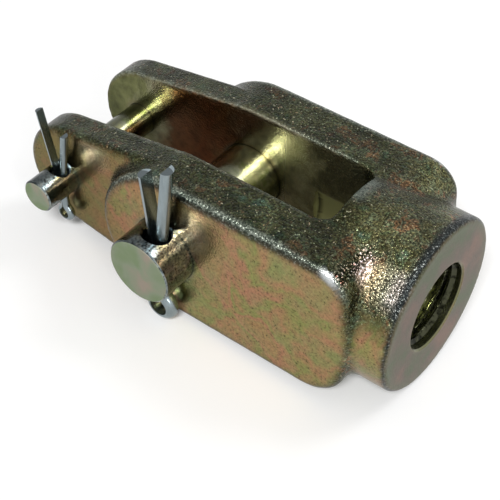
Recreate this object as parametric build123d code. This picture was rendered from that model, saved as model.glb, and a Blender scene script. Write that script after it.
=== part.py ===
from build123d import *
import os
from math import asin, atan2, cos, degrees, hypot, radians, sin, sqrt, tan

# Clevis rod end: a drop-forged yoke that screws onto a push rod, with a large and a small cross pin.
# Each pin is held by a split cotter pin.
#
# Frame: millimetres, +Z up. The origin is the centre of the threaded hole's mouth, on the hub's end face.
# +X leaves the hub along the rod. The pins lie along Y: their heads are on the +Y side, and their plain ends
# and cotters on the -Y side. The hub's barrel and the ears' bottom edges are what it lies on.

# ---- hub and thread ----
HUB_DIAMETER = 32.0
HUB_REACH = 7.0  # bare barrel between the ears' ends and the hub's end face
HUB_EDGE_ROUND = 1.0
THREAD_DIAMETER = 15.875  # 5/8 inch, 18 to the inch; the hole is drawn at this major diameter
THREAD_MOUTH_CHAMFER = 0.3
THREAD_LENGTH = 17.4  # from the hub's end face to the bottom of the fork
DRILL_DIAMETER = 17.0  # the relief behind the thread, which scores both of the ears' inner faces
DRILL_REACH = 12.2  # of its full width, past the bottom of the fork
DRILL_POINT_ANGLE = 118.0

# ---- ears, seen from the side ----
CROWN_CLEARANCE = 0.95  # the slot is that much wider, each side, than the barrel's crown above the ears
EAR_TOP_CORNER = 6.0
EAR_BOTTOM_CORNER = 8.0
NOSE_SHY = 4.0  # the nose's radius is that much less than half the ears' height
NOSE_SETBACK = 1.6  # the nose's centre lies this far behind the small pin
LARGE_PIN_TO_FACE = 44.0
PIN_SPACING = 26.6

# ---- ears, seen from above ----
LAND_PROUD = 1.0  # the raised lands round the large pin stand out that far from the barrel's sides
SLOT_WIDTH = 15.0
TONGUE_STEP = 3.7  # from a land's face down to its tongue's
TONGUE_SINK = 0.1  # a tongue's root lies this far inside the land's round edge
SLOT_CORNER = 3.0
BARREL_BLEND = 2.0
LAND_BLEND = 1.5
LAND_EDGE_ROUND = 1.5
TONGUE_EDGE_ROUND = 1.2
SLOT_EDGE_ROUND = 0.6

# ---- pins ----
LARGE_PIN_DIAMETER = 12.7
LARGE_PIN_STICKOUT = 6.9  # beyond the land's face
LARGE_HEAD_DIAMETER = 16.5
LARGE_HEAD_THICKNESS = 4.0
LARGE_COTTER_HOLE = 4.8
LARGE_HOLE_OFFSET = 0.6  # drilled a little off the pin's middle
LARGE_HOLE_TO_FACE = 2.3  # hole's centre from the land's face
SMALL_PIN_DIAMETER = 6.35
SMALL_PIN_STICKOUT = 7.5
SMALL_HEAD_DIAMETER = 9.6
SMALL_HEAD_THICKNESS = 2.5
SMALL_COTTER_HOLE = 3.4
SMALL_HOLE_OFFSET = 0.35
SMALL_HOLE_TO_FACE = 1.7
PIN_CLEARANCE = 0.08  # radial, pin in its bores
HEAD_CLEARANCE = 0.3  # head from the far ear
PIN_CHAMFER = 0.3
HOLE_MOUTH_CHAMFER = 0.4

# ---- cotter pins: half-round wire, folded flat to flat ----
LEG_GAP = 0.1  # between the two flats
LARGE_WIRE_RADIUS = 1.35
LARGE_EYE_RADIUS = 1.8  # inside the eye
LARGE_EYE_DROP = 10.8  # eye's centre below the pin's axis
LARGE_COTTER_SHIFT = 0.93  # the cotter stands to one side of its roomy hole
LARGE_LEG_BEND = 2.2  # height above the pin's axis where the legs part
LARGE_LEG_TOPS = (18.3, 21.6)
LARGE_LEG_SPLAYS = (6.0, 7.7)  # degrees
SMALL_WIRE_RADIUS = 0.8
SMALL_EYE_RADIUS = 1.05
SMALL_EYE_DROP = 7.27
SMALL_COTTER_SHIFT = 0.5
SMALL_COTTER_LEAN = 2.0  # degrees, eye towards the hub
SMALL_LEG_BEND = -0.9
SMALL_LEG_TOPS = (14.9, 11.7)
SMALL_LEG_SPLAYS = (9.2, 11.3)
LEG_BEND_RADIUS = 6.0

# ---- places worked out from the sizes ----
hub_radius = HUB_DIAMETER / 2
slot_y = SLOT_WIDTH / 2
half_height = sqrt(hub_radius**2 - (slot_y - CROWN_CLEARANCE) ** 2)
nose_radius = half_height - NOSE_SHY
land_y = hub_radius + LAND_PROUD
tongue_y = land_y - TONGUE_STEP
ear_end_x = -HUB_REACH
slot_end_x = -THREAD_LENGTH
large_pin_x = -LARGE_PIN_TO_FACE
small_pin_x = large_pin_x - PIN_SPACING
nose_x = small_pin_x + NOSE_SETBACK
tip_x = nose_x - nose_radius
BEYOND = 10.0  # how far a cutting tool runs past what it cuts


def ear_end(corner_radius):
    """Edges from above the large pin along the ear's top and down its end, with a round corner."""
    corner_x = ear_end_x - corner_radius
    corner_z = half_height - corner_radius
    return [
        Line((large_pin_x, half_height), (corner_x, half_height)),
        CenterArc((corner_x, corner_z), corner_radius, 90, -90),
        Line((ear_end_x, corner_z), (ear_end_x, 0)),
    ]


def land_outline():
    """Side view of an ear without its tongue: round about the large pin, straight to the ear's end."""
    top = [CenterArc((large_pin_x, 0), half_height, 180, -90)] + ear_end(EAR_TOP_CORNER)
    bottom = [CenterArc((large_pin_x, 0), half_height, 180, -90)] + ear_end(EAR_BOTTOM_CORNER)
    lower = [mirror(edge, about=Plane.XZ) for edge in bottom]
    return Plane.XZ * make_face(Curve() + top + lower)


def tongue_outline():
    """Side view of a tongue: its nose, and tapers that run into the land just under the land's round edge."""
    root_radius = half_height - TONGUE_SINK
    taper = asin((root_radius - nose_radius) / (large_pin_x - nose_x))
    nose_end = (nose_x - nose_radius * sin(taper), nose_radius * cos(taper))
    root_start = (large_pin_x - root_radius * sin(taper), root_radius * cos(taper))
    upper = [
        CenterArc((nose_x, 0), nose_radius, 180, degrees(taper) - 90),
        Line(nose_end, root_start),
        Line(root_start, (large_pin_x, root_start[1])),
        Line((large_pin_x, root_start[1]), (large_pin_x, 0)),
    ]
    lower = [mirror(edge, about=Plane.XZ) for edge in upper]
    return Plane.XZ * make_face(Curve() + upper + lower)


def outer_face_edges(solid, face_y):
    """Outer boundary of the flat faces that look sideways at y = -face_y and +face_y."""
    flats = [face for face in solid.faces().filter_by(Plane.XZ) if abs(abs(face.center().Y) - face_y) < 1e-3]
    return [edge for face in flats for edge in face.outer_wire().edges()]


def lies_on_barrel(edge):
    """True for an edge that runs along the hub's round surface."""
    points = [edge @ share for share in (0, 0.3, 0.7, 1)]
    return all(abs(hypot(point.Y, point.Z) - hub_radius) < 1e-3 for point in points)


def forged_block():
    """The fork's solid end and the barrel, blended where they meet, and cut to the width over the lands."""
    wide_ears = extrude(land_outline(), land_y + BEYOND, both=True)
    barrel_start = slot_end_x - SLOT_CORNER
    barrel = Pos(barrel_start, 0, 0) * Rot(0, 90, 0) * Cylinder(
        hub_radius, -barrel_start, align=(Align.CENTER, Align.CENTER, Align.MIN)
    )
    block = wide_ears + barrel
    root = [
        edge
        for edge in block.edges()
        if lies_on_barrel(edge) and barrel_start + 0.1 < edge.center().X < ear_end_x + 0.01
    ]
    block = fillet(root, BARREL_BLEND)
    block = block & Box(4 * LARGE_PIN_TO_FACE, 2 * land_y, 4 * half_height)
    return fillet(outer_face_edges(block, land_y), LAND_EDGE_ROUND)


def tongues():
    """Both thin tongues that reach forward to the small pin, as one slab before the slot is cut."""
    slab = extrude(tongue_outline(), tongue_y, both=True)
    return fillet(outer_face_edges(slab, tongue_y), TONGUE_EDGE_ROUND)


def slot_cut():
    """The fork's slot, rounded at its two inner corners and open at the nose, top and bottom."""
    length = slot_end_x - tip_x + BEYOND
    plan = Pos(slot_end_x - length / 2, 0) * Rectangle(length, SLOT_WIDTH)
    inner = [corner for corner in plan.vertices() if abs(corner.X - slot_end_x) < 1e-3]
    return extrude(fillet(inner, SLOT_CORNER), hub_radius + BEYOND, both=True)


def slot_rim(body):
    """Edges where the slot's walls meet the ears' tops, bottoms and noses."""
    walls = [face for face in body.faces().filter_by(Plane.XZ) if abs(abs(face.center().Y) - slot_y) < 1e-3]
    borders = [edge for face in walls for edge in face.outer_wire().edges()]
    return [edge for edge in borders if edge.center().X < slot_end_x - SLOT_CORNER - 0.1]


def cross_bore(diameter, bore_x):
    """A bore along Y, right through both ears."""
    return Pos(bore_x, 0, 0) * Rot(90, 0, 0) * Cylinder(diameter / 2 + PIN_CLEARANCE, 2 * land_y + BEYOND)


def drilled_relief():
    """The wide drill that clears the thread's end, with its point towards the large pin."""
    radius = DRILL_DIAMETER / 2
    relief_x = slot_end_x - SLOT_CORNER
    shoulder_x = slot_end_x - DRILL_REACH
    point_x = shoulder_x - radius / tan(radians(DRILL_POINT_ANGLE / 2))
    outline = Polyline((relief_x, 0), (relief_x, radius), (shoulder_x, radius), (point_x, 0), close=True)
    return revolve(make_face(outline), Axis.X)


def clevis_body():
    body = forged_block() + tongues()
    step_feet = [
        edge
        for edge in body.edges().filter_by(GeomType.CIRCLE)
        if abs(abs(edge.center().Y) - tongue_y) < 1e-3 and abs(edge.radius - half_height) < 1e-3
    ]
    body = fillet(step_feet, LAND_BLEND)
    body = body - slot_cut()
    body = fillet(slot_rim(body), SLOT_EDGE_ROUND)
    rim = [edge for edge in body.edges() if lies_on_barrel(edge) and abs(edge.center().X) < 1e-3]
    body = fillet(rim, HUB_EDGE_ROUND)
    body = body - cross_bore(LARGE_PIN_DIAMETER, large_pin_x)
    body = body - cross_bore(SMALL_PIN_DIAMETER, small_pin_x)
    body = body - Rot(0, 90, 0) * Cylinder(THREAD_DIAMETER / 2, 2 * THREAD_LENGTH + BEYOND) - drilled_relief()
    mouth = [
        edge
        for edge in body.edges().filter_by(GeomType.CIRCLE)
        if abs(edge.center().X) < 1e-3 and abs(edge.radius - THREAD_DIAMETER / 2) < 1e-3
    ]
    return chamfer(mouth, THREAD_MOUTH_CHAMFER)


def headed_pin(
    pin_x, diameter, head_diameter, head_thickness, seat_y, end_y, hole_diameter, hole_offset, hole_y
):
    """A clevis pin with a flat head on the +Y side and a cotter hole near its plain end."""
    radius = diameter / 2
    head_radius = head_diameter / 2
    top_y = seat_y + head_thickness
    half_section = Polyline(
        (0, end_y),
        (radius - PIN_CHAMFER, end_y),
        (radius, end_y + PIN_CHAMFER),
        (radius, seat_y),
        (head_radius, seat_y),
        (head_radius, top_y - PIN_CHAMFER),
        (head_radius - PIN_CHAMFER, top_y),
        (0, top_y),
        close=True,
    )
    pin = revolve(make_face(half_section), Axis.Y)
    pin = pin - Pos(hole_offset, hole_y, 0) * Cylinder(hole_diameter / 2, 2 * diameter)
    mouths = pin.edges().filter_by(GeomType.BSPLINE)
    pin = chamfer(mouths, HOLE_MOUTH_CHAMFER)
    return Pos(pin_x, 0, 0) * pin


def split_cotter(at_x, at_y, lean, wire_radius, eye_radius, eye_drop, bend_z, leg_tops, leg_splays):
    """Half-round wire folded back on itself: an eye below, two legs up through the pin, parted above it."""
    half_gap = LEG_GAP / 2
    neck_radius = wire_radius + eye_radius
    reach = neck_radius + eye_radius
    neck_z = sqrt(reach**2 - (half_gap + neck_radius) ** 2) - eye_drop
    neck_turn = degrees(atan2(neck_z + eye_drop, half_gap + neck_radius))
    left_top, right_top = leg_tops
    left_lean = (left_top - bend_z) * sin(radians(leg_splays[0]))
    right_lean = (right_top - bend_z) * sin(radians(leg_splays[1]))
    path = Curve() + [
        FilletPolyline(
            (-half_gap - left_lean, left_top),
            (-half_gap, bend_z),
            (-half_gap, neck_z),
            radius=LEG_BEND_RADIUS,
        ),
        CenterArc((-half_gap - neck_radius, neck_z), neck_radius, 0, -neck_turn),
        CenterArc((0, -eye_drop), eye_radius, 180 - neck_turn, 180 + 2 * neck_turn),
        CenterArc((half_gap + neck_radius, neck_z), neck_radius, 180 + neck_turn, -neck_turn),
        FilletPolyline(
            (half_gap, neck_z),
            (half_gap, bend_z),
            (half_gap + right_lean, right_top),
            radius=LEG_BEND_RADIUS,
        ),
    ]
    route = Plane.XZ * path
    start = Plane(route @ 0, x_dir=(0, 1, 0), z_dir=route % 0)
    disc = Circle(wire_radius)
    outer_half = disc & (Pos(0, -wire_radius) * Rectangle(2 * wire_radius, 2 * wire_radius))
    wire = sweep(start * outer_half, path=route)
    return Pos(at_x, at_y, 0) * Rot(0, lean, 0) * wire


def large_pin():
    return headed_pin(
        large_pin_x,
        LARGE_PIN_DIAMETER,
        LARGE_HEAD_DIAMETER,
        LARGE_HEAD_THICKNESS,
        land_y + HEAD_CLEARANCE,
        -land_y - LARGE_PIN_STICKOUT,
        LARGE_COTTER_HOLE,
        LARGE_HOLE_OFFSET,
        -land_y - LARGE_HOLE_TO_FACE,
    )


def small_pin():
    return headed_pin(
        small_pin_x,
        SMALL_PIN_DIAMETER,
        SMALL_HEAD_DIAMETER,
        SMALL_HEAD_THICKNESS,
        tongue_y + HEAD_CLEARANCE,
        -tongue_y - SMALL_PIN_STICKOUT,
        SMALL_COTTER_HOLE,
        SMALL_HOLE_OFFSET,
        -tongue_y - SMALL_HOLE_TO_FACE,
    )


def large_cotter():
    return split_cotter(
        large_pin_x + LARGE_COTTER_SHIFT,
        -land_y - LARGE_HOLE_TO_FACE,
        0,
        LARGE_WIRE_RADIUS,
        LARGE_EYE_RADIUS,
        LARGE_EYE_DROP,
        LARGE_LEG_BEND,
        LARGE_LEG_TOPS,
        LARGE_LEG_SPLAYS,
    )


def small_cotter():
    return split_cotter(
        small_pin_x + SMALL_COTTER_SHIFT,
        -tongue_y - SMALL_HOLE_TO_FACE,
        -SMALL_COTTER_LEAN,
        SMALL_WIRE_RADIUS,
        SMALL_EYE_RADIUS,
        SMALL_EYE_DROP,
        SMALL_LEG_BEND,
        SMALL_LEG_TOPS,
        SMALL_LEG_SPLAYS,
    )


os.makedirs("parts", exist_ok=True)
for make_piece in (clevis_body, large_pin, small_pin, large_cotter, small_cotter):
    export_step(make_piece(), f"parts/{make_piece.__name__}.step")
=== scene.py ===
# Clevis rod end: the forging, its thread, two cross pins and their split cotters, dressed on the packed
# frame. The origin is the centre of the threaded hole's mouth, and +X leaves the hub along the rod.
import math

import bpy
import numpy as np
from bpy.props import FloatProperty, FloatVectorProperty, IntProperty, PointerProperty
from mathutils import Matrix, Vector


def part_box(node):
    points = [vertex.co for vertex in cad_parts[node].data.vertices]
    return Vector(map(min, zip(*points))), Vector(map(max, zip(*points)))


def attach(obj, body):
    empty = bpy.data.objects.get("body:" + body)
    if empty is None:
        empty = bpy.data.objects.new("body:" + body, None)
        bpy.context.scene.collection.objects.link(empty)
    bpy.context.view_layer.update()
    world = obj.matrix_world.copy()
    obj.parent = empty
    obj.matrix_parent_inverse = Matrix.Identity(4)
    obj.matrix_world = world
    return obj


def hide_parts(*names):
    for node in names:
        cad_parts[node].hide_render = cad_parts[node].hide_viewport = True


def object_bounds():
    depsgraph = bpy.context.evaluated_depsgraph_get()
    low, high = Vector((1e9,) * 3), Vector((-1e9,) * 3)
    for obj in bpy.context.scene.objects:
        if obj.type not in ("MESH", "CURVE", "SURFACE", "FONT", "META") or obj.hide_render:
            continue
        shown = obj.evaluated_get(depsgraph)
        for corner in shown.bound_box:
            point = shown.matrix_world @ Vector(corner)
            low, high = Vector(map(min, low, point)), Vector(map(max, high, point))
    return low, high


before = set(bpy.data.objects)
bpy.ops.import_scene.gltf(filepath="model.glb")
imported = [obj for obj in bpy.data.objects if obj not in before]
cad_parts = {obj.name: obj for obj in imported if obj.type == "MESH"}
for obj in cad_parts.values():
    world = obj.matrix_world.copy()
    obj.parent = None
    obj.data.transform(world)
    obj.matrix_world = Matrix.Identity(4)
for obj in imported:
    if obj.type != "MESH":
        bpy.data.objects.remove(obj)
packed_low, packed_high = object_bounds()

bl_info = {
    "name": "Clevis Rod End",
    "version": (1, 0, 0),
    "blender": (4, 5, 0),
    "location": "3D View > Sidebar > Clevis",
    "description": "Dresses a forged clevis rod end with its pins and split cotters",
    "category": "Object",
}

MM = 0.001

# Places and radii on the part, in millimetres.
LARGE_PIN_X, LARGE_PIN_RADIUS = -44.0, 6.35
SMALL_PIN_X, SMALL_PIN_RADIUS = -70.6, 3.175
SLOT_END_X = -17.4
BARREL_RADIUS = 16.0
EAR_LIFT = 1.4  # the ears' bottoms lie that much higher than the barrel's


def from_hex(code):
    """A colour written as sRGB hex, as linear red, green and blue."""
    parts = [int(code[i : i + 2], 16) / 255 for i in (0, 2, 4)]
    return tuple(c / 12.92 if c <= 0.04045 else ((c + 0.055) / 1.055) ** 2.4 for c in parts)


def per_mm(size):
    """Pattern scale at which one cell of a texture is that many millimetres wide."""
    return 1 / (size * MM)


# ---------------------------------------------------------------- what a user would change


class ClevisSizes(bpy.types.PropertyGroup):
    """Sizes of the details that the dressing adds."""

    cell: FloatProperty(
        name="Skin cell",
        description="Width of one face of the forging's fine skin",
        default=0.46 * MM,
        min=0.3 * MM,
        subtype="DISTANCE",
        unit="LENGTH",
    )
    lump_size: FloatProperty(
        name="Lump size",
        description="Width of the shallow lumps that the dies leave on forged skin",
        default=2.2 * MM,
        subtype="DISTANCE",
        unit="LENGTH",
    )
    lump_depth: FloatProperty(
        name="Lump depth",
        description="Depth of the hollows between those lumps",
        default=0.1 * MM,
        subtype="DISTANCE",
        unit="LENGTH",
    )
    grain_size: FloatProperty(
        name="Grain size",
        description="Width of one grain of scale-pitted forged skin",
        default=0.35 * MM,
        subtype="DISTANCE",
        unit="LENGTH",
    )
    pitch: FloatProperty(
        name="Thread pitch",
        description="Distance from one thread to the next, 18 to the inch",
        default=25.4 / 18 * MM,
        subtype="DISTANCE",
        unit="LENGTH",
    )
    thread_major: FloatProperty(
        name="Thread major radius",
        description="Radius of the hole's wall, at the roots of the thread",
        default=7.9375 * MM,
        subtype="DISTANCE",
        unit="LENGTH",
    )
    thread_minor: FloatProperty(
        name="Thread minor radius",
        description="Radius over the crests of the thread",
        default=7.2 * MM,
        subtype="DISTANCE",
        unit="LENGTH",
    )
    thread_turns: IntProperty(
        name="Thread turns", description="Whole turns of thread in the hub", default=11, min=1
    )


class ClevisColours(bpy.types.PropertyGroup):
    """Colours of the platings, as they look in plain light."""

    coined: FloatVectorProperty(
        name="Coined faces",
        description="Yellow zinc on the smooth flat sides",
        subtype="COLOR",
        min=0,
        max=1,
        default=from_hex("A8855B"),
    )
    coined_green: FloatVectorProperty(
        name="Green bloom",
        description="Green bloom of the chromate on the flat sides",
        subtype="COLOR",
        min=0,
        max=1,
        default=from_hex("8C9060"),
    )
    slot_wall: FloatVectorProperty(
        name="Slot walls",
        description="Yellow zinc on the slot's smooth walls",
        subtype="COLOR",
        min=0,
        max=1,
        default=from_hex("845436"),
    )
    faced: FloatVectorProperty(
        name="Hub face",
        description="Yellow zinc on the faced end of the hub",
        subtype="COLOR",
        min=0,
        max=1,
        default=from_hex("685A4D"),
    )
    thread: FloatVectorProperty(
        name="Thread",
        description="Yellow zinc on the thread",
        subtype="COLOR",
        min=0,
        max=1,
        default=from_hex("84866A"),
    )
    pin: FloatVectorProperty(
        name="Pins",
        description="Yellow zinc on the turned pins",
        subtype="COLOR",
        min=0,
        max=1,
        default=from_hex("7F8A8C"),
    )
    cotter: FloatVectorProperty(
        name="Cotters",
        description="Clear zinc on the cotter wire",
        subtype="COLOR",
        min=0,
        max=1,
        default=from_hex("98A4A8"),
    )


# ---------------------------------------------------------------- helpers


def select_only(obj):
    """Leaves that object alone selected, and active."""
    bpy.ops.object.select_all(action="DESELECT")
    bpy.context.view_layer.objects.active = obj
    obj.select_set(True)


def apply_modifier(obj, kind, **settings):
    """Adds a modifier with its settings to the active object and applies it."""
    modifier = obj.modifiers.new(kind.title(), kind)
    for name, value in settings.items():
        setattr(modifier, name, value)
    bpy.ops.object.modifier_apply(modifier=modifier.name)


def add_node(tree, kind, *inputs, stops=(), **settings):
    """Adds a shader node with its settings and links, and returns it.

    Inputs fill its sockets in their order; settings go to its property or socket of that name. Each may be
    a value, sRGB hex, a socket, or a node, whose first output is taken. Stops are a ramp's pairs of place
    and colour.
    """
    node = tree.nodes.new("ShaderNode" + kind)
    for name in [name for name in settings if hasattr(node, name)]:
        setattr(node, name, settings.pop(name))
    sockets = [socket for socket in node.inputs if socket.enabled]
    pairs = list(zip(sockets, inputs)) + [(node.inputs[name], value) for name, value in settings.items()]
    for socket, value in pairs:
        if isinstance(value, bpy.types.Node):
            value = next(output for output in value.outputs if output.enabled)
        if isinstance(value, bpy.types.NodeSocket):
            tree.links.new(value, socket)
        else:
            socket.default_value = as_colour(value) if socket.type == "RGBA" else value
    for index, (place, colour) in enumerate(stops):
        elements = node.color_ramp.elements
        if 0 < index < len(stops) - 1:
            element = elements.new(place)
        else:
            element = elements[0 if index == 0 else -1]
        element.position = place
        element.color = as_colour(colour)
    return node


def as_colour(value):
    """Linear red, green, blue and alpha of sRGB hex, of a grey or of a linear colour."""
    if isinstance(value, str):
        value = from_hex(value)
    elif isinstance(value, float):
        value = (value,) * 3
    return tuple(value)[:3] + (1.0,)


def plated_metal(name):
    """A new material with a metallic Principled shader; returns it with its tree, shader and coordinates."""
    material = bpy.data.materials.new(name)
    material.use_nodes = True
    tree = material.node_tree
    shader = tree.nodes["Principled BSDF"]
    shader.inputs["Metallic"].default_value = 1.0
    place = add_node(tree, "TexCoord").outputs["Object"]
    return material, tree, shader, place


def shade(colour, factor):
    """The colour made that much lighter or darker."""
    return tuple(min(1.0, c * factor) for c in colour)


def patches(tree, place, size, start, full, most=1.0, detail=2.0):
    """A factor of 0 that rises to its most in patches about that many millimetres wide."""
    cloud = add_node(tree, "TexNoise", place, per_mm(size), detail, 0.6)
    return add_node(tree, "MapRange", cloud, start, full, 0.0, most)


# ---------------------------------------------------------------- materials


def coined_zinc(tree, place, colours):
    """Colour of the coined flats: bands of salmon, tan and green that wander over them, and dark pores."""
    along = add_node(tree, "SeparateXYZ", place).outputs
    cloud = add_node(tree, "TexNoise", place, per_mm(13.0), 3.0, 0.55, Distortion=0.4)
    drift = add_node(tree, "MapRange", along["X"], -66 * MM, -8 * MM, 0.0, 0.30)
    drift = add_node(tree, "Math", drift, cloud, operation="ADD")
    low = add_node(tree, "MapRange", along["Z"], 4 * MM, -14 * MM, 0.0, 0.10)
    drift = add_node(tree, "Math", drift, low, operation="ADD")
    tone = add_node(
        tree,
        "ValToRGB",
        drift,
        stops=[
            (0.42, "A67654"),
            (0.52, colours.coined),
            (0.60, "9E875B"),
            (0.66, "AE8062"),
            (0.73, "8C9054"),
            (0.80, "A8825E"),
            (0.90, "8E905A"),
        ],
    )
    bloom = patches(tree, place, 4.6, 0.44, 0.72, 0.6, 3.0)
    tone = add_node(tree, "Mix", bloom, tone, colours.coined_green, data_type="RGBA")
    blush = patches(tree, place, 3.0, 0.44, 0.76, 0.4, 4.0)
    tone = add_node(tree, "Mix", blush, tone, "B47E66", data_type="RGBA")
    tip = add_node(tree, "MapRange", along["X"], -72 * MM, -46 * MM)
    tip = add_node(tree, "ValToRGB", tip, stops=[(0.0, "BCC8A8"), (0.6, "E4E0D0"), (1.0, "FFFFFF")])
    tone = add_node(tree, "Mix", 1.0, tone, tip, data_type="RGBA", blend_type="MULTIPLY")
    # The pores of real coined skin are too fine to show; these are drawn at four tenths of a millimetre.
    pores = add_node(tree, "TexNoise", place, per_mm(0.4), 2.0, 0.7)
    depth = add_node(tree, "ValToRGB", pores, stops=[(0.30, 0.2), (0.39, 0.82), (0.55, 1.0), (0.70, 1.2)])
    return add_node(tree, "Mix", 1.0, tone, depth, data_type="RGBA", blend_type="MULTIPLY")


def glare_patches(tree, place, grain):
    """A factor for the painted glare above and behind each pin: its highlight reflected in the flat side."""
    factors = []
    for centre, reach in (((-38.6, -16.5, 7.4), 5.0), ((-63.4, -15.5, 9.5), 5.5)):
        away = add_node(tree, "VectorMath", place, tuple(c * MM for c in centre), operation="DISTANCE")
        factors.append(add_node(tree, "MapRange", away.outputs["Value"], reach * MM, 0.5 * MM))
    factor = add_node(tree, "Math", *factors, operation="MAXIMUM")
    highlight_grain = add_node(tree, "ValToRGB", grain, stops=[(0.40, 0.15), (0.60, 0.7)])
    return add_node(tree, "Math", factor, highlight_grain, operation="MULTIPLY")


def forged_zinc(tree, place, grain):
    """Colour of the blasted skin: near-black green between the grains, olive on them, with painted glints and
    sheen.
    """
    cloud = add_node(tree, "TexNoise", place, per_mm(4.5), 4.0, 0.65, Distortion=0.3)
    hue = add_node(
        tree,
        "ValToRGB",
        cloud,
        stops=[
            (0.30, "324236"),
            (0.40, "303824"),
            (0.47, "373722"),
            (0.54, "38402E"),
            (0.61, "4A3824"),
            (0.68, "333E30"),
            (0.78, "44412A"),
        ],
    )
    axes = add_node(tree, "SeparateXYZ", place).outputs
    # Painted sheen: the barrel is painted more than twice as light as the ears' skin.
    barrel = add_node(tree, "MapRange", axes["X"], -19 * MM, -6 * MM)
    barrel = add_node(tree, "Mix", barrel, 1.0, (2.4, 2.2, 2.35), data_type="RGBA")
    hue = add_node(tree, "Mix", 1.0, hue, barrel, data_type="RGBA", blend_type="MULTIPLY")
    # Painted highlight: pale pink, cream and grey on the barrel's shoulder next to the hub's face.
    shoulder_sheen_tone = add_node(tree, "MapRange", axes["X"], -9 * MM, -2 * MM)
    stops = [(0.1, "D8BCB4"), (0.35, "C8B48C"), (0.7, "B4B096"), (0.9, "C0B4AC")]
    shoulder_sheen_tone = add_node(tree, "ValToRGB", shoulder_sheen_tone, stops=stops)
    shoulder = add_node(tree, "Mix", painted_shoulder_sheen(tree, axes, grain), hue, shoulder_sheen_tone, data_type="RGBA")
    depth = add_node(tree, "ValToRGB", grain, stops=[(0.30, 0.25), (0.44, 0.6), (0.56, 1.2), (0.72, 2.2)])
    tone = add_node(tree, "Mix", 1.0, shoulder, depth, data_type="RGBA", blend_type="MULTIPLY")
    # Painted shade and glints: the valley where the barrel meets the ears' ends is painted near black, with a
    # few grains painted bright.
    root = add_node(tree, "Attribute", attribute_name="root").outputs["Fac"]
    stops = [(0.42, 0.12), (0.54, 0.5), (0.59, 1.2), (0.67, (7.0, 4.8, 8.0))]
    pitted = add_node(tree, "ValToRGB", grain, stops=stops)
    pitted = add_node(tree, "Mix", root, 1.0, pitted, data_type="RGBA")
    tone = add_node(tree, "Mix", 1.0, tone, pitted, data_type="RGBA", blend_type="MULTIPLY")
    wide = add_node(tree, "TexNoise", place, per_mm(6.0), 2.0, 0.6)
    wide = add_node(tree, "ValToRGB", wide, stops=[(0.34, 0.55), (0.52, 0.95), (0.68, 1.5)])
    tone = add_node(tree, "Mix", 1.0, tone, wide, data_type="RGBA", blend_type="MULTIPLY")
    # Painted glints: sparse pale specks scattered over the skin.
    glint_cloud = add_node(tree, "TexNoise", place, per_mm(1.5), 1.0)
    stops = [(0.35, "A2AE92"), (0.5, "CFCAAE"), (0.65, "B29878")]
    glint_tone = add_node(tree, "ValToRGB", glint_cloud, stops=stops)
    glints = patches(tree, place, 0.45, 0.66, 0.77, 0.65, 1.0)
    return add_node(tree, "Mix", glints, tone, glint_tone, data_type="RGBA")


def painted_shoulder_sheen(tree, axes, grain):
    """A factor for the barrel's shoulder on the cotters' side, painted pale as a highlight."""
    across = add_node(tree, "MapRange", axes["Y"], -7 * MM, -14 * MM)
    band = add_node(tree, "ValToRGB", across, stops=[(0.14, 0.0), (0.40, 0.65), (0.72, 0.85), (0.96, 0.0)])
    above = add_node(tree, "MapRange", axes["Z"], 6 * MM, 8 * MM)
    along = add_node(tree, "MapRange", axes["X"], -9.5 * MM, -8 * MM)
    factor = add_node(tree, "Math", band, above, operation="MULTIPLY")
    factor = add_node(tree, "Math", factor, along, operation="MULTIPLY")
    highlight_grain = add_node(tree, "MapRange", grain, 0.36, 0.6, 0.35, 1.0)
    return add_node(tree, "Math", factor, highlight_grain, operation="MULTIPLY")


def wall_zinc(tree, place, colours):
    """Colour of the slot's walls: olive at the nose, green gold round the pins, red-brown between them."""
    cloud = add_node(tree, "TexNoise", place, per_mm(5.0), 3.0, 0.6)
    axes = add_node(tree, "SeparateXYZ", place).outputs
    wander = add_node(tree, "MapRange", cloud, 0.3, 0.7, -3 * MM, 3 * MM)
    along = add_node(tree, "Math", axes["X"], wander, operation="ADD")
    # Green gold round the pins, paler where their highlights reflect in the wall, is partly painted
    # reflection.
    tone = add_node(
        tree,
        "ValToRGB",
        add_node(tree, "MapRange", along, -80 * MM, -20 * MM),
        stops=[
            (0.04, "565934"),
            (0.13, "6E7048"),
            (0.21, "9E9C7C"),
            (0.30, "7E5A3E"),
            (0.42, colours.slot_wall),
            (0.52, "8C6C4A"),
            (0.60, "A29C82"),
            (0.72, "BCB89A"),
            (0.84, "B4AE84"),
        ],
    )
    # Painted shade: towards the slot's end the walls are darkened, more so higher up.
    upper = add_node(tree, "MapRange", axes["Z"], 1 * MM, 9 * MM, 0.6, 0.3)
    inner = add_node(tree, "MapRange", along, -33 * MM, -29 * MM)
    level = add_node(tree, "Mix", inner, 1.0, upper)
    tone = add_node(tree, "Mix", 1.0, tone, level, data_type="RGBA", blend_type="MULTIPLY")
    patch = add_node(tree, "TexNoise", place, per_mm(2.0), 3.0, 0.6)
    patch = add_node(tree, "ValToRGB", patch, stops=[(0.34, 0.7), (0.5, 1.0), (0.66, 1.2)])
    return add_node(tree, "Mix", 1.0, tone, patch, data_type="RGBA", blend_type="MULTIPLY")


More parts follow.
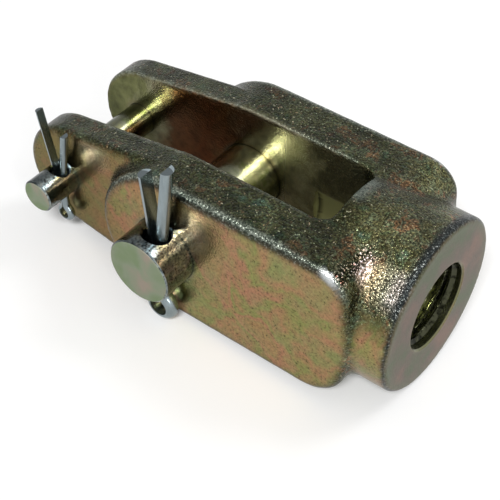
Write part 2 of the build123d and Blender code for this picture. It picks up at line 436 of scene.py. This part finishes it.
def forged_yellow_zinc(colours, grain_size):
    """Drop-forged steel, shot-blasted, coined on the flats and yellow zinc plated.

    The blasted skin is dark and grainy with bright grain tips; the coined flats are smooth and mottled.
    """
    material, tree, shader, place = plated_metal("yellow_zinc_on_forged_steel")
    names = "forged inside scored faced bored silver rolled corner rim bluish hollow".split()
    mark = {name: add_node(tree, "Attribute", attribute_name=name).outputs["Fac"] for name in names}
    # Blast grain is a few hundredths of a millimetre wide; it is drawn at the grain size so that it shows.
    grain = add_node(tree, "TexNoise", place, 1 / grain_size, 1.5, 0.6)
    flat = coined_zinc(tree, place, colours)
    # Painted reflection: the flats are painted pale cream where the pins' highlights glare in them.
    glare_patch = glare_patches(tree, place, grain)
    flat = add_node(tree, "Mix", glare_patch, flat, "E8D6B8", data_type="RGBA")
    colour = add_node(tree, "Mix", mark["forged"], flat, forged_zinc(tree, place, grain), data_type="RGBA")
    colour = add_node(tree, "Mix", mark["inside"], colour, wall_zinc(tree, place, colours), data_type="RGBA")
    cloud = add_node(tree, "TexNoise", place, per_mm(9.0), 3.0, 0.6)
    face = add_node(tree, "ValToRGB", cloud, stops=[(0.36, "565E42"), (0.5, colours.faced), (0.66, "7C6253")])
    radius = add_node(tree, "VectorMath", place, (0.0, 1.0, 1.0), operation="MULTIPLY")
    radius = add_node(tree, "VectorMath", radius, operation="LENGTH").outputs["Value"]
    green = add_node(tree, "MapRange", radius, 13 * MM, 15 * MM, 0.0, 0.6)
    face = add_node(tree, "Mix", green, face, "626A52", data_type="RGBA")
    # The marks of facing are too fine to show; these are drawn at nearly half a millimetre.
    turned = add_node(tree, "TexNoise", place, per_mm(0.45), 2.0, 0.7)
    turned = add_node(tree, "ValToRGB", turned, stops=[(0.3, 0.8), (0.5, 1.0), (0.7, 1.15)])
    face = add_node(tree, "Mix", 1.0, face, turned, data_type="RGBA", blend_type="MULTIPLY")
    colour = add_node(tree, "Mix", mark["faced"], colour, face, data_type="RGBA")
    colour = add_node(tree, "Mix", mark["bored"], colour, shade(colours.thread, 0.7), data_type="RGBA")
    # Silver is edge wear with a painted highlight band; the outer band below it, a painted dark reflection.
    bright = add_node(tree, "ValToRGB", grain, stops=[(0.36, "3E4640"), (0.50, "6E766A"), (0.64, "A2A89C")])
    dark = add_node(tree, "ValToRGB", grain, stops=[(0.44, "252C2C"), (0.58, "3A4240"), (0.70, "8E9694")])
    rim = add_node(tree, "ValToRGB", grain, stops=[(0.46, "242828"), (0.58, "363A39"), (0.70, "7C807C")])
    blue = add_node(tree, "ValToRGB", grain, stops=[(0.36, "4C544E"), (0.60, "788078")])
    # Near-white at the ears' top ends is a painted glare.
    tones_and_painted_light = (("bluish", blue), ("silver", bright), ("rolled", dark), ("rim", rim), ("corner", "C6CACA"))
    for name, steel in tones_and_painted_light + (("scored", "B2B280"),):
        colour = add_node(tree, "Mix", mark[name], colour, steel, data_type="RGBA")
    # Painted shade: concave places are darkened towards near black.
    hollow = add_node(tree, "Math", mark["hollow"], 0.8, operation="MULTIPLY")
    colour = add_node(tree, "Mix", hollow, colour, "241F14", data_type="RGBA")
    rough = add_node(tree, "MapRange", mark["inside"], 0.0, 1.0, 0.22, 0.2)
    rough = add_node(tree, "Math", mark["faced"], 0.16, rough, operation="MULTIPLY_ADD")
    rough = add_node(tree, "Math", glare_patch, -0.1, rough, operation="MULTIPLY_ADD")
    dull = add_node(tree, "Math", mark["forged"], mark["inside"], operation="MULTIPLY")
    dull = add_node(tree, "Math", dull, mark["scored"], operation="MAXIMUM")
    rough = add_node(tree, "Math", dull, 0.35, rough, operation="MULTIPLY_ADD")
    # The blasted grains stand about a tenth of a millimetre proud. The coined flats keep only pores, which
    # are too fine to show and are drawn a third of a millimetre wide.
    fine = add_node(tree, "TexNoise", place, per_mm(0.35), 2.0, 0.6)
    skin = add_node(tree, "MapRange", mark["forged"], 0.0, 1.0, 0.1, 1.0)
    smooth = add_node(tree, "Math", mark["corner"], mark["rolled"], operation="MAXIMUM")
    smooth = add_node(tree, "MapRange", smooth, 0.0, 1.0, 1.0, 0.25)
    skin = add_node(tree, "Math", skin, smooth, operation="MULTIPLY")
    height = add_node(tree, "Math", grain, skin, operation="MULTIPLY")
    height = add_node(tree, "Math", fine, 0.1, height, operation="MULTIPLY_ADD")
    bump = add_node(tree, "Bump", Strength=1.0, Distance=0.2 * MM, Height=height)
    tree.links.new(colour.outputs[2], shader.inputs["Base Color"])
    tree.links.new(rough.outputs[0], shader.inputs["Roughness"])
    tree.links.new(bump.outputs["Normal"], shader.inputs["Normal"])
    return material


def turned_yellow_zinc(name, colours, low, high, radius):
    """Turned steel, yellow zinc plated: a smooth shank, darker on its nose side, golden head, matt ends."""
    material, tree, shader, place = plated_metal(name)
    along, across, _ = add_node(tree, "SeparateXYZ", place).outputs
    cloud = add_node(tree, "TexNoise", place, per_mm(2.2), 3.0, 0.6, Distortion=0.5)
    outside = add_node(
        tree,
        "ValToRGB",
        cloud,
        stops=[(0.32, shade(colours.pin, 0.6)), (0.48, colours.pin), (0.6, "989E9A"), (0.74, "848E84")],
    )
    # The pores in the plating are too fine to show; these are drawn at four tenths of a millimetre.
    pores = add_node(tree, "TexNoise", place, per_mm(0.4), 2.0, 0.7)
    depth = add_node(tree, "ValToRGB", pores, stops=[(0.37, 0.08), (0.46, 0.85), (0.6, 1.0), (0.7, 1.4)])
    outside = add_node(tree, "Mix", 1.0, outside, depth, data_type="RGBA", blend_type="MULTIPLY")
    sheltered = add_node(tree, "ValToRGB", cloud, stops=[(0.36, "78805A"), (0.5, "8E907A"), (0.66, "9A9A76")])
    golden = add_node(tree, "ValToRGB", cloud, stops=[(0.34, "86784E"), (0.5, "9A8A62"), (0.68, "8A8C62")])
    within = add_node(tree, "MapRange", across, -12 * MM, -7 * MM)
    colour = add_node(tree, "Mix", within, outside, sheltered, data_type="RGBA")
    # Painted shade: the shank is darkened on its nose side.
    axis = (low.x + high.x) / 2
    nose_side_shade = add_node(tree, "MapRange", along, axis + 0.05 * radius, axis + 0.4 * radius, 0.35, 1.0)
    colour = add_node(tree, "Mix", 1.0, colour, nose_side_shade, data_type="RGBA", blend_type="MULTIPLY")
    headward = add_node(tree, "MapRange", across, 8 * MM, 12 * MM)
    colour = add_node(tree, "Mix", headward, colour, golden, data_type="RGBA")
    plain_end = add_node(tree, "Math", across, low.y + 0.05 * MM, operation="LESS_THAN")
    head_end = add_node(tree, "Math", across, high.y - 0.05 * MM, operation="GREATER_THAN")
    end = add_node(tree, "Math", plain_end, head_end, operation="MAXIMUM")
    mist = add_node(tree, "TexNoise", place, per_mm(5.0), 2.0, 0.5, Distortion=0.4)
    matt = add_node(tree, "ValToRGB", mist, stops=[(0.35, "80906F"), (0.52, "8C967F"), (0.68, "9F9486")])
    colour = add_node(tree, "Mix", end, colour, matt, data_type="RGBA")
    rough = add_node(tree, "MapRange", end, 0.0, 1.0, 0.17, 0.5)
    bump = add_node(tree, "Bump", Strength=0.4, Distance=0.03 * MM, Height=pores.outputs[0])
    tree.links.new(colour.outputs[2], shader.inputs["Base Color"])
    tree.links.new(rough.outputs[0], shader.inputs["Roughness"])
    tree.links.new(bump.outputs["Normal"], shader.inputs["Normal"])
    return material


def cut_thread_zinc(colours):
    """Tapped thread, yellow zinc plated: gold-green with tool chatter; its first ridge has painted shade."""
    material, tree, shader, place = plated_metal("yellow_zinc_on_tapped_thread")
    chatter = add_node(tree, "TexNoise", place, per_mm(1.2), 3.0, 0.6)
    stops = [(0.36, shade(colours.thread, 0.4)), (0.54, shade(colours.thread, 3.4))]
    colour = add_node(tree, "ValToRGB", chatter, stops=stops)
    along = add_node(tree, "SeparateXYZ", place).outputs["X"]
    # Painted shade: the turns nearest the hub's face are darkened.
    mouth = add_node(tree, "MapRange", along, -4.6 * MM, -2.2 * MM, 1.0, 0.08)
    colour = add_node(tree, "Mix", 1.0, colour, mouth, data_type="RGBA", blend_type="MULTIPLY")
    tree.links.new(colour.outputs[2], shader.inputs["Base Color"])
    bump = add_node(tree, "Bump", Strength=1.0, Distance=0.14 * MM, Height=chatter)
    tree.links.new(bump.outputs["Normal"], shader.inputs["Normal"])
    shader.inputs["Roughness"].default_value = 0.2
    return material


def drawn_clear_zinc(name, colours, tips):
    """Drawn half-round steel wire, clear zinc plated: bluish silver with fine lines and dark cut tips."""
    material, tree, shader, place = plated_metal(name)
    # The lines that the die draws along the wire are too fine to show; these are half a millimetre wide.
    stretch = add_node(tree, "Mapping", place, Scale=(1.0, 1.0, 0.12))
    lines = add_node(tree, "TexNoise", stretch, per_mm(0.5), 2.0, 0.6)
    dark, light = shade(colours.cotter, 0.7), shade(colours.cotter, 1.15)
    tone = add_node(tree, "Mix", lines, dark, light, data_type="RGBA")
    for centre, outward in tips:
        offset = add_node(tree, "VectorMath", place, centre, operation="SUBTRACT")
        height = add_node(tree, "VectorMath", offset, outward, operation="DOT_PRODUCT").outputs["Value"]
        away = add_node(tree, "VectorMath", offset, operation="LENGTH").outputs["Value"]
        level = add_node(tree, "Math", height, -0.02 * MM, operation="GREATER_THAN")
        near = add_node(tree, "Math", away, 2 * MM, operation="LESS_THAN")
        cut = add_node(tree, "Math", level, near, operation="MULTIPLY")
        tone = add_node(tree, "Mix", cut, tone, shade(colours.cotter, 0.35), data_type="RGBA")
    bump = add_node(tree, "Bump", Strength=0.3, Distance=0.03 * MM, Height=lines)
    tree.links.new(tone.outputs[2], shader.inputs["Base Color"])
    tree.links.new(bump.outputs["Normal"], shader.inputs["Normal"])
    shader.inputs["Roughness"].default_value = 0.24
    return material


# ---------------------------------------------------------------- shaping


def welded_copy(node_name, name):
    """A copy of a CAD node's mesh with its loose triangles welded together."""
    copy = bpy.data.objects.new(name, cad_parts[node_name].data.copy())
    bpy.context.scene.collection.objects.link(copy)
    select_only(copy)
    bpy.ops.object.mode_set(mode="EDIT")
    bpy.ops.mesh.select_all(action="SELECT")
    bpy.ops.mesh.remove_doubles(threshold=0.002 * MM)
    bpy.ops.object.mode_set(mode="OBJECT")
    return copy


def read_vectors(items, field):
    """One row of three numbers for each vertex."""
    values = np.empty(len(items) * 3)
    items.foreach_get(field, values)
    return values.reshape(-1, 3)


def spread(values, pairs, times):
    """Values at the vertices, averaged with their neighbours along the edges."""
    counts = np.bincount(pairs.ravel(), minlength=len(values))
    for _ in range(times):
        sums = np.bincount(pairs[:, 0], values[pairs[:, 1]], len(values))
        sums += np.bincount(pairs[:, 1], values[pairs[:, 0]], len(values))
        values = (values + sums) / (1 + counts)
    return values


def set_attribute(mesh, name, values):
    """Writes an attribute of the vertices that a material reads, from 0 to 1."""
    attribute = mesh.attributes.new(name, "FLOAT", "POINT")
    attribute.data.foreach_set("value", np.clip(values, 0, 1).astype(np.float32))


def set_weights(obj, name, values):
    """A vertex group with those weights, written in sixteen steps."""
    group = obj.vertex_groups.new(name=name)
    steps = np.round(np.clip(values, 0, 1) * 16).astype(int)
    for step in range(1, 17):
        group.add(np.flatnonzero(steps == step).tolist(), step / 16, "REPLACE")
    return group.name


def mark_finishes(obj):
    """Attributes of each place's finish and painted light; returns how lumpy its skin is there."""
    mesh = obj.data
    place = read_vectors(mesh.vertices, "co") / MM
    normal = read_vectors(mesh.vertices, "normal")
    pairs = np.empty(len(mesh.edges) * 2, dtype=np.int64)
    mesh.edges.foreach_get("vertices", pairs)
    pairs = pairs.reshape(-1, 2)
    # side and turned: how far a place faces along Y and X. out and radial: how many millimetres it lies
    # from the middle plane and from the thread's axis.
    x, y, z = place.T
    side, turned = np.abs(normal[:, 1]), normal[:, 0]
    out, radial = np.abs(y), np.hypot(y, z)
    scored = (out > 7.55) & (radial < 8.8) & (x < -20.0) & (x > -31.0)
    barrel = (x > -19.0) & (out < 16.2)
    flats = (side > np.where(barrel, 0.85, 0.96)) & (out > 13.0)
    walls = (side > 0.85) & (out < 7.7) & (x < -20.0) | scored
    faced = (turned > 0.9) & (x > -0.4)
    bored = (radial < 8.3) & (x > -22.5) & ~walls & ~faced
    pin_bore = (np.hypot(x - LARGE_PIN_X, z) < 6.5) | (np.hypot(x - SMALL_PIN_X, z) < 3.4)
    rough = ~(flats | walls | faced | bored | pin_bore)
    # The slot's walls are as rough as the rest near its bottom, except where the drill has scored them.
    near_bottom = np.clip((x + 38.0) / 7.0, 0, 1) * (walls & ~scored)
    rim = rough * np.clip((x + 2.0) / 0.6, 0, 1) * (radial > 14.0)
    edge = rough * (out > 15.2) * ~barrel * np.clip((normal[:, 2] - 0.1) / 0.3, 0, 1)
    # Painted light on the rounded top edges: a highlight band (with edge wear), and a dark reflection lower
    # outside.
    silver = edge * np.clip((side - 0.08) / 0.2, 0, 1) * np.clip((0.85 - side) / 0.2, 0, 1)
    # The slot's top edges get the same painted highlight.
    lips = rough & (out < 8.5) & (side > 0.25) & (normal[:, 2] > 0.3) & (x < -22.0)
    rolled = edge * np.clip((side - 0.7) / 0.2, 0, 1)
    # Where each ear's rounded top edge turns down towards the hub, a near-white painted glare.
    corner = edge * np.clip((turned - 0.04) / 0.1, 0, 1) * np.clip((0.42 - turned) / 0.12, 0, 1)
    corner *= np.clip((side - 0.2) / 0.2, 0, 1) * (x > -24.0)
    # The valley where the barrel meets the ears' ends, on the cotters' side, carries painted shade and
    # glints.
    root = rough & (x > -15.0) & (x < -8.6) & (y < -7.0) & (z > 1.0) & (z < 14.0)
    slot_end = rough & (x > -21.5) & (x < -15.5) & (y > -1.5) & (out < 5.0) & (z > 12.0)
    step = place[pairs[:, 1]] - place[pairs[:, 0]]
    distance = np.linalg.norm(step, axis=1) + 1e-9
    bend_a = -np.einsum("ij,ij->i", step, normal[pairs[:, 0]]) / distance**2
    bend_b = np.einsum("ij,ij->i", step, normal[pairs[:, 1]]) / distance**2
    outward = np.bincount(pairs[:, 0], bend_a, len(x)) + np.bincount(pairs[:, 1], bend_b, len(x))
    outward = spread(outward / np.bincount(pairs.ravel(), minlength=len(x)), pairs, 1)
    barrel_share = np.clip((8.0 - z) / 5.0, 0, 1)  # the barrel's sides are coined only lower down
    forged = np.maximum(rough, near_bottom)
    forged = np.where(flats & barrel, 1 - barrel_share, forged)
    marks = {  # values, times that they are averaged, and their share
        "forged": (forged, 3, 1.0),
        "inside": (walls * (1 - 0.3 * near_bottom), 2, 1.0),
        "faced": (faced, 1, 1.0),
        "bored": (bored | pin_bore, 1, 1.0),
        "rolled": (rolled, 1, 1.0),
        "silver": (np.maximum(silver, lips * 0.9), 1, 1.0),
        "scored": (scored, 1, 1.0),
        "bluish": (slot_end, 4, 0.75),
        "root": (root, 3, 1.0),
        "corner": (corner, 1, 1.4),
        "rim": (rim, 1, 1.0),
    }
    for name, (values, times, share) in marks.items():
        set_attribute(mesh, name, spread(values.astype(float), pairs, times) * share)
    # How concave each place is, for the painted shade there.
    set_attribute(mesh, "hollow", (-outward - 0.08) / 0.3)
    return spread(rough.astype(float), pairs, 5)


def dent(obj, weights, pattern, size, depth):
    """Presses a cloudy pattern into the skin, inwards only, where the vertex group has weight."""
    texture = bpy.data.textures.new(weights + "_" + pattern.lower(), pattern)
    texture.noise_scale = size
    if pattern == "CLOUDS":
        texture.noise_depth = 2
    apply_modifier(
        obj,
        "DISPLACE",
        texture=texture,
        texture_coords="LOCAL",
        strength=depth,
        mid_level=1.0,
        vertex_group=weights,
    )


class CLEVIS_OT_forging(bpy.types.Operator):
    """Gives the forging a fine skin with die lumps and blast grain, and marks its finishes"""

    bl_idname = "clevis.forging"
    bl_label = "Forging"

    def execute(self, context):
        sizes, colours = context.scene.clevis_sizes, context.scene.clevis_colours
        forging = welded_copy("clevis_body", "forging")
        whole = packed_high.x - packed_low.x
        depth = 8  # octree levels; the forging takes as much of their 256 cells as the cell's size needs
        apply_modifier(
            forging,
            "REMESH",
            mode="SHARP",
            octree_depth=depth,
            scale=whole / (sizes.cell * 2**depth),
            sharpness=1.0,
            use_remove_disconnected=False,
        )
        weights = set_weights(forging, "lumpy", mark_finishes(forging))
        dent(forging, weights, "CLOUDS", sizes.lump_size, sizes.lump_depth)
        self.keep_inside(forging)
        select_only(forging)
        bpy.ops.object.shade_smooth_by_angle(angle=math.radians(40))
        forging.data.materials.clear()
        forging.data.materials.append(forged_yellow_zinc(colours, sizes.grain_size))
        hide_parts("clevis_body")
        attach(forging, "clevis")
        return {"FINISHED"}

    def keep_inside(self, forging):
        """Puts back on the solid's box the few vertices that the remesh leaves just outside it."""
        place = np.clip(read_vectors(forging.data.vertices, "co"), *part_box("clevis_body"))
        forging.data.vertices.foreach_set("co", place.ravel())


class CLEVIS_OT_thread(bpy.types.Operator):
    """Winds the thread's ridge along the hub's bore"""

    bl_idname = "clevis.thread"
    bl_label = "Thread"
    foot_width = 0.94  # of the pitch
    crest_width = 0.22  # of the foot's width
    sunk = 0.06 * MM  # the ridge's foot lies that deep in the wall
    mouth_gap = 1.4 * MM  # from the hub's end face to the middle of the ridge's nearest turn
    steps_per_turn = 96

    def execute(self, context):
        sizes, colours = context.scene.clevis_sizes, context.scene.clevis_colours
        wall = sizes.thread_major + self.sunk
        bpy.ops.object.select_all(action="DESELECT")
        bpy.ops.mesh.primitive_plane_add(
            size=1, location=(0, 0, (wall + sizes.thread_minor) / 2), rotation=(math.pi / 2, 0, 0)
        )
        ridge = context.object
        ridge.name = "thread"
        ridge.scale = (sizes.pitch * self.foot_width, wall - sizes.thread_minor, 1)
        bpy.ops.object.transform_apply(location=True, rotation=True, scale=True)
        bpy.ops.object.mode_set(mode="EDIT")
        bpy.ops.mesh.select_all(action="DESELECT")
        bpy.ops.object.mode_set(mode="OBJECT")
        crest = min(v.co.z for v in ridge.data.vertices)
        for vertex in ridge.data.vertices:
            vertex.select = vertex.co.z < crest + 0.01 * MM
        bpy.ops.object.mode_set(mode="EDIT")
        bpy.ops.transform.resize(value=(self.crest_width, 1, 1))
        bpy.ops.mesh.select_all(action="SELECT")
        first_x = -sizes.thread_turns * sizes.pitch - self.mouth_gap
        bpy.ops.transform.translate(value=(first_x, 0, 0))
        bpy.ops.object.mode_set(mode="OBJECT")
        apply_modifier(
            ridge,
            "SCREW",
            axis="X",
            angle=2 * math.pi,
            screw_offset=sizes.pitch,
            iterations=sizes.thread_turns,
            steps=self.steps_per_turn,
            render_steps=self.steps_per_turn,
            use_smooth_shade=True,
        )
        self.run_out(ridge, sizes)
        bpy.ops.object.mode_set(mode="EDIT")
        bpy.ops.mesh.select_all(action="SELECT")
        bpy.ops.mesh.remove_doubles(threshold=0.001 * MM)
        bpy.ops.mesh.fill_holes(sides=8)
        bpy.ops.mesh.select_all(action="SELECT")
        bpy.ops.mesh.normals_make_consistent(inside=False)
        bpy.ops.object.mode_set(mode="OBJECT")
        bpy.ops.object.shade_smooth_by_angle(angle=math.radians(35))
        ridge.data.materials.append(cut_thread_zinc(colours))
        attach(ridge, "clevis")
        return {"FINISHED"}

    def run_out(self, ridge, sizes):
        """Sinks the first and last half turn of the ridge into the wall."""
        place = read_vectors(ridge.data.vertices, "co")
        along = place[:, 0]
        half = sizes.pitch / 2
        near = np.minimum(along - along.min(), along.max() - along) / half - 0.9
        share = np.clip(near, 0, 1)
        radius = np.hypot(place[:, 1], place[:, 2])
        wall = sizes.thread_major + self.sunk
        wanted = wall - (wall - radius) * share
        place[:, 1:] *= (wanted / radius)[:, None]
        ridge.data.vertices.foreach_set("co", place.ravel())


class CLEVIS_OT_pins(bpy.types.Operator):
    """Plates the large and the small pin"""

    bl_idname = "clevis.pins"
    bl_label = "Pins"

    def execute(self, context):
        colours = context.scene.clevis_colours
        for name, radius in (("large_pin", LARGE_PIN_RADIUS), ("small_pin", SMALL_PIN_RADIUS)):
            finish = turned_yellow_zinc("yellow_zinc_on_" + name, colours, *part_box(name), radius * MM)
            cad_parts[name].material_slots[0].material = finish
        return {"FINISHED"}


class CLEVIS_OT_cotters(bpy.types.Operator):
    """Plates both split cotters"""

    bl_idname = "clevis.cotters"
    bl_label = "Cotters"

    def execute(self, context):
        colours = context.scene.clevis_colours
        for name in ("large_cotter", "small_cotter"):
            finish = drawn_clear_zinc("clear_zinc_on_" + name, colours, self.leg_tips(name))
            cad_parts[name].material_slots[0].material = finish
        return {"FINISHED"}

    def leg_tips(self, name):
        """A point on the cut end of each leg and the direction that the end faces."""
        tips = {}
        # The cut ends lie more than 10 mm up and face up, to within about 30 degrees.
        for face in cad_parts[name].data.polygons:
            if face.center.z > 10 * MM and face.normal.z > 0.86:
                tips.setdefault(tuple(round(n, 1) for n in face.normal), (face.center[:], face.normal[:]))
        return list(tips.values())


class CLEVIS_OT_stage(bpy.types.Operator):
    """Sets the floor, the world, the lamps and the camera"""

    bl_idname = "clevis.stage"
    bl_label = "Stage"

    def execute(self, context):
        scene = context.scene
        scene.view_settings.view_transform = "Standard"
        self.floor()
        self.world(scene)
        middle = Vector((-36, 0, 0)) * MM
        away = 6.0  # metres, from the part to each lamp
        self.lamp("lamp_key", middle, Vector((0.28, -0.57, 0.77)), away, (1.8, 0.9), 0.50)
        self.lamp("lamp_side", middle, Vector((0.75, -0.45, 0.48)), away, (0.9, 0.9), 0.06)
        self.lamp("lamp_fill", middle, Vector((0.36, 0.53, 0.77)), away, (1.8, 1.8), 0.12)
        camera = bpy.data.cameras.new("camera")
        camera.lens = 87.3
        camera.sensor_width = 36
        camera.clip_start, camera.clip_end = 0.01, 10
        eye = bpy.data.objects.new("camera", camera)
        eye.location = Vector((56.7, -124.6, 146.5)) * MM
        eye.rotation_euler = [math.radians(a) for a in (45.0, -0.09, 37.5)]
        scene.collection.objects.link(eye)
        scene.camera = eye
        return {"FINISHED"}

    def floor(self):
        """A pale floor, tilted so that it touches the barrel and the ears' bottoms under the large pin."""
        slope = math.atan2(EAR_LIFT, SLOT_END_X - LARGE_PIN_X)
        clear = 0.03  # the floor lies that much lower
        bpy.ops.object.select_all(action="DESELECT")
        bpy.ops.mesh.primitive_plane_add(
            size=6,
            location=(SLOT_END_X * MM, 0, -(BARREL_RADIUS + clear) * MM),
            rotation=(0, slope, 0),
        )
        floor = bpy.context.object
        floor.name = "floor"
        material = bpy.data.materials.new("floor_paper")
        material.use_nodes = True
        tree = material.node_tree
        shader = tree.nodes["Principled BSDF"]
        shader.inputs["Roughness"].default_value = 0.9
        seen = add_node(tree, "LightPath").outputs["Is Camera Ray"]
        white = add_node(tree, "Mix", seen, 0.85, 1.0, data_type="RGBA")
        tree.links.new(white.outputs[2], shader.inputs["Base Color"])
        floor.data.materials.append(material)

    def world(self, scene):
        """White where it is seen, in itself or in a reflection, and soft fill elsewhere."""
        world = bpy.data.worlds.new("studio")
        scene.world = world
        world.use_nodes = True
        tree = world.node_tree
        rays = add_node(tree, "LightPath").outputs
        seen = add_node(tree, "Math", rays["Is Camera Ray"], rays["Is Glossy Ray"], operation="MAXIMUM")
        seen = add_node(tree, "Math", seen, rays["Is Transmission Ray"], operation="MAXIMUM")
        level = add_node(tree, "MapRange", seen, 0.0, 1.0, 0.4, 1.0)
        tree.links.new(level.outputs[0], tree.nodes["Background"].inputs["Strength"])
        tree.nodes["Background"].inputs["Color"].default_value = (1, 1, 1, 1)

    def lamp(self, name, middle, towards, distance, size, level):
        """A soft box at that distance; level is the white that it alone gives a card that faces up."""
        data = bpy.data.lights.new(name, "AREA")
        data.shape = "RECTANGLE"
        data.size, data.size_y = size
        data.energy = level * math.pi * distance**2 / towards.normalized().z * math.pi
        lamp = bpy.data.objects.new(name, data)
        towards = towards.normalized()
        lamp.location = middle + towards * distance
        lamp.rotation_euler = towards.to_track_quat("Z", "Y").to_euler()
        bpy.context.scene.collection.objects.link(lamp)


class CLEVIS_PT_panel(bpy.types.Panel):
    """Lists the clevis's steps and settings"""

    bl_idname = "CLEVIS_PT_panel"
    bl_label = "Clevis rod end"
    bl_space_type = "VIEW_3D"
    bl_region_type = "UI"
    bl_category = "Clevis"

    def draw(self, context):
        for group in (context.scene.clevis_sizes, context.scene.clevis_colours):
            for name in group.__annotations__:
                self.layout.prop(group, name)
        for step in STEPS:
            self.layout.operator(step.bl_idname)


STEPS = (CLEVIS_OT_forging, CLEVIS_OT_thread, CLEVIS_OT_pins, CLEVIS_OT_cotters, CLEVIS_OT_stage)
CLASSES = (ClevisSizes, ClevisColours, *STEPS, CLEVIS_PT_panel)


def register():
    for cls in CLASSES:
        bpy.utils.register_class(cls)
    bpy.types.Scene.clevis_sizes = PointerProperty(type=ClevisSizes)
    bpy.types.Scene.clevis_colours = PointerProperty(type=ClevisColours)


def unregister():
    del bpy.types.Scene.clevis_colours
    del bpy.types.Scene.clevis_sizes
    for cls in reversed(CLASSES):
        bpy.utils.unregister_class(cls)


def main():
    register()
    bpy.ops.clevis.forging()
    bpy.ops.clevis.thread()
    bpy.ops.clevis.pins()
    bpy.ops.clevis.cotters()
    bpy.ops.clevis.stage()


if __name__ == "__main__":
    main()
